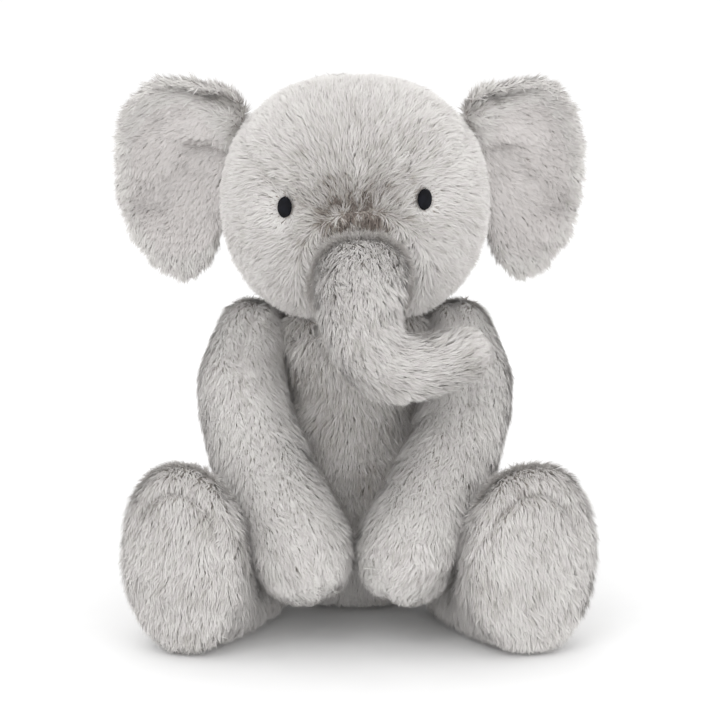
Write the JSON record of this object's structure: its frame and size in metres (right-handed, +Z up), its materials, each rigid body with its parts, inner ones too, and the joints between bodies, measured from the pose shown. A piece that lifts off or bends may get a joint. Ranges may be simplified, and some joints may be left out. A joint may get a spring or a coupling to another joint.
{
  "type": "stuffed elephant toy",
  "caption": "Seated plush elephant with a round head, big cupped ears, a trunk that curls to one side, long hanging arms and splayed legs with oval soles.",
  "frame": {"origin": "the middle of the bounding box's base, on the surface that the toy sits on", "axes": "+Z up; the toy faces -Y; +X is the toy's own left"},
  "size_m": [0.2508, 0.1944, 0.283],
  "materials": {
    "fur_cloth": "long soft pile, matt",
    "ear_lining_cloth": "soft pile, matt",
    "fibrefill": "loose white polyester fibre",
    "eye_thread": "dense satin stitch, low sheen",
    "pellet_canvas": "plain woven bag",
    "label_ribbon": "plain satin ribbon, blank"
  },
  "bodies": {
    "torso": {"torso_front_panel": "fur_cloth", "torso_back_left": "fur_cloth", "torso_back_right": "fur_cloth", "torso_base": "fur_cloth", "torso_stuffing": "fibrefill", "pellet_bag": "pellet_canvas", "care_label": "label_ribbon"},
    "neck": {"neck_plug": "fibrefill"},
    "head": {"head_forehead_panel": "fur_cloth", "head_chin_panel": "fur_cloth", "head_cheek_left": "fur_cloth", "head_cheek_right": "fur_cloth", "head_back_left": "fur_cloth", "head_back_right": "fur_cloth", "head_stuffing": "fibrefill", "eye_left": "eye_thread", "eye_right": "eye_thread"},
    "ear_left": {"ear_left_lining": "ear_lining_cloth", "ear_left_back": "fur_cloth"},
    "ear_right": {"ear_right_lining": "ear_lining_cloth", "ear_right_back": "fur_cloth"},
    "trunk": {"trunk_top_panel": "fur_cloth", "trunk_under_panel": "fur_cloth", "trunk_stuffing": "fibrefill"},
    "arm_left": {"arm_left_outer": "fur_cloth", "arm_left_inner": "fur_cloth", "arm_left_stuffing": "fibrefill"},
    "arm_right": {"arm_right_outer": "fur_cloth", "arm_right_inner": "fur_cloth", "arm_right_stuffing": "fibrefill"},
    "leg_left": {"leg_left_outer": "fur_cloth", "leg_left_inner": "fur_cloth", "leg_left_sole": "fur_cloth", "leg_left_stuffing": "fibrefill"},
    "leg_right": {"leg_right_outer": "fur_cloth", "leg_right_inner": "fur_cloth", "leg_right_sole": "fur_cloth", "leg_right_stuffing": "fibrefill"},
    "tail": {"tail": "fur_cloth"}
  },
  "joints": [
    {"name": "neck_turn", "type": "hinge", "parent": "torso", "child": "neck", "pos_m": [0, 0.0147, 0.156], "axis": [0, 0, 1], "range_deg": [-12, 12]},
    {"name": "head_nod", "type": "hinge", "parent": "neck", "child": "head", "pos_m": [0, 0.0147, 0.168], "axis": [1, 0, 0], "range_deg": [-16, 4]},
    {"name": "ear_left_fold", "type": "hinge", "parent": "head", "child": "ear_left", "pos_m": [0.0682, 0.0267, 0.2315], "axis": [0, 0, 1], "range_deg": [-35, 12]},
    {"name": "ear_right_fold", "type": "hinge", "parent": "head", "child": "ear_right", "pos_m": [-0.0682, 0.0267, 0.2315], "axis": [0, 0, 1], "range_deg": [-12, 35]},
    {"name": "trunk_lift", "type": "hinge", "parent": "head", "child": "trunk", "pos_m": [0, -0.0432, 0.2111], "axis": [1, 0, 0], "range_deg": [-30, 3]},
    {"name": "arm_left_swing", "type": "hinge", "parent": "torso", "child": "arm_left", "pos_m": [0.052, 0.0117, 0.148], "axis": [1, 0, 0], "range_deg": [-14, 2]},
    {"name": "arm_right_swing", "type": "hinge", "parent": "torso", "child": "arm_right", "pos_m": [-0.052, 0.0117, 0.148], "axis": [1, 0, 0], "range_deg": [-55, 2]},
    {"name": "leg_left_swing", "type": "hinge", "parent": "torso", "child": "leg_left", "pos_m": [0.0601, -0.02, 0.023], "axis": [-0.9136, -0.4067, 0], "range_deg": [-60, 4]},
    {"name": "leg_right_swing", "type": "hinge", "parent": "torso", "child": "leg_right", "pos_m": [-0.0601, -0.02, 0.023], "axis": [-0.9136, 0.4067, 0], "range_deg": [-60, 4]},
    {"name": "tail_swing", "type": "hinge", "parent": "torso", "child": "tail", "pos_m": [0, 0.0798, 0.0521], "axis": [1, 0, 0], "range_deg": [-8, 35]}
  ]
}
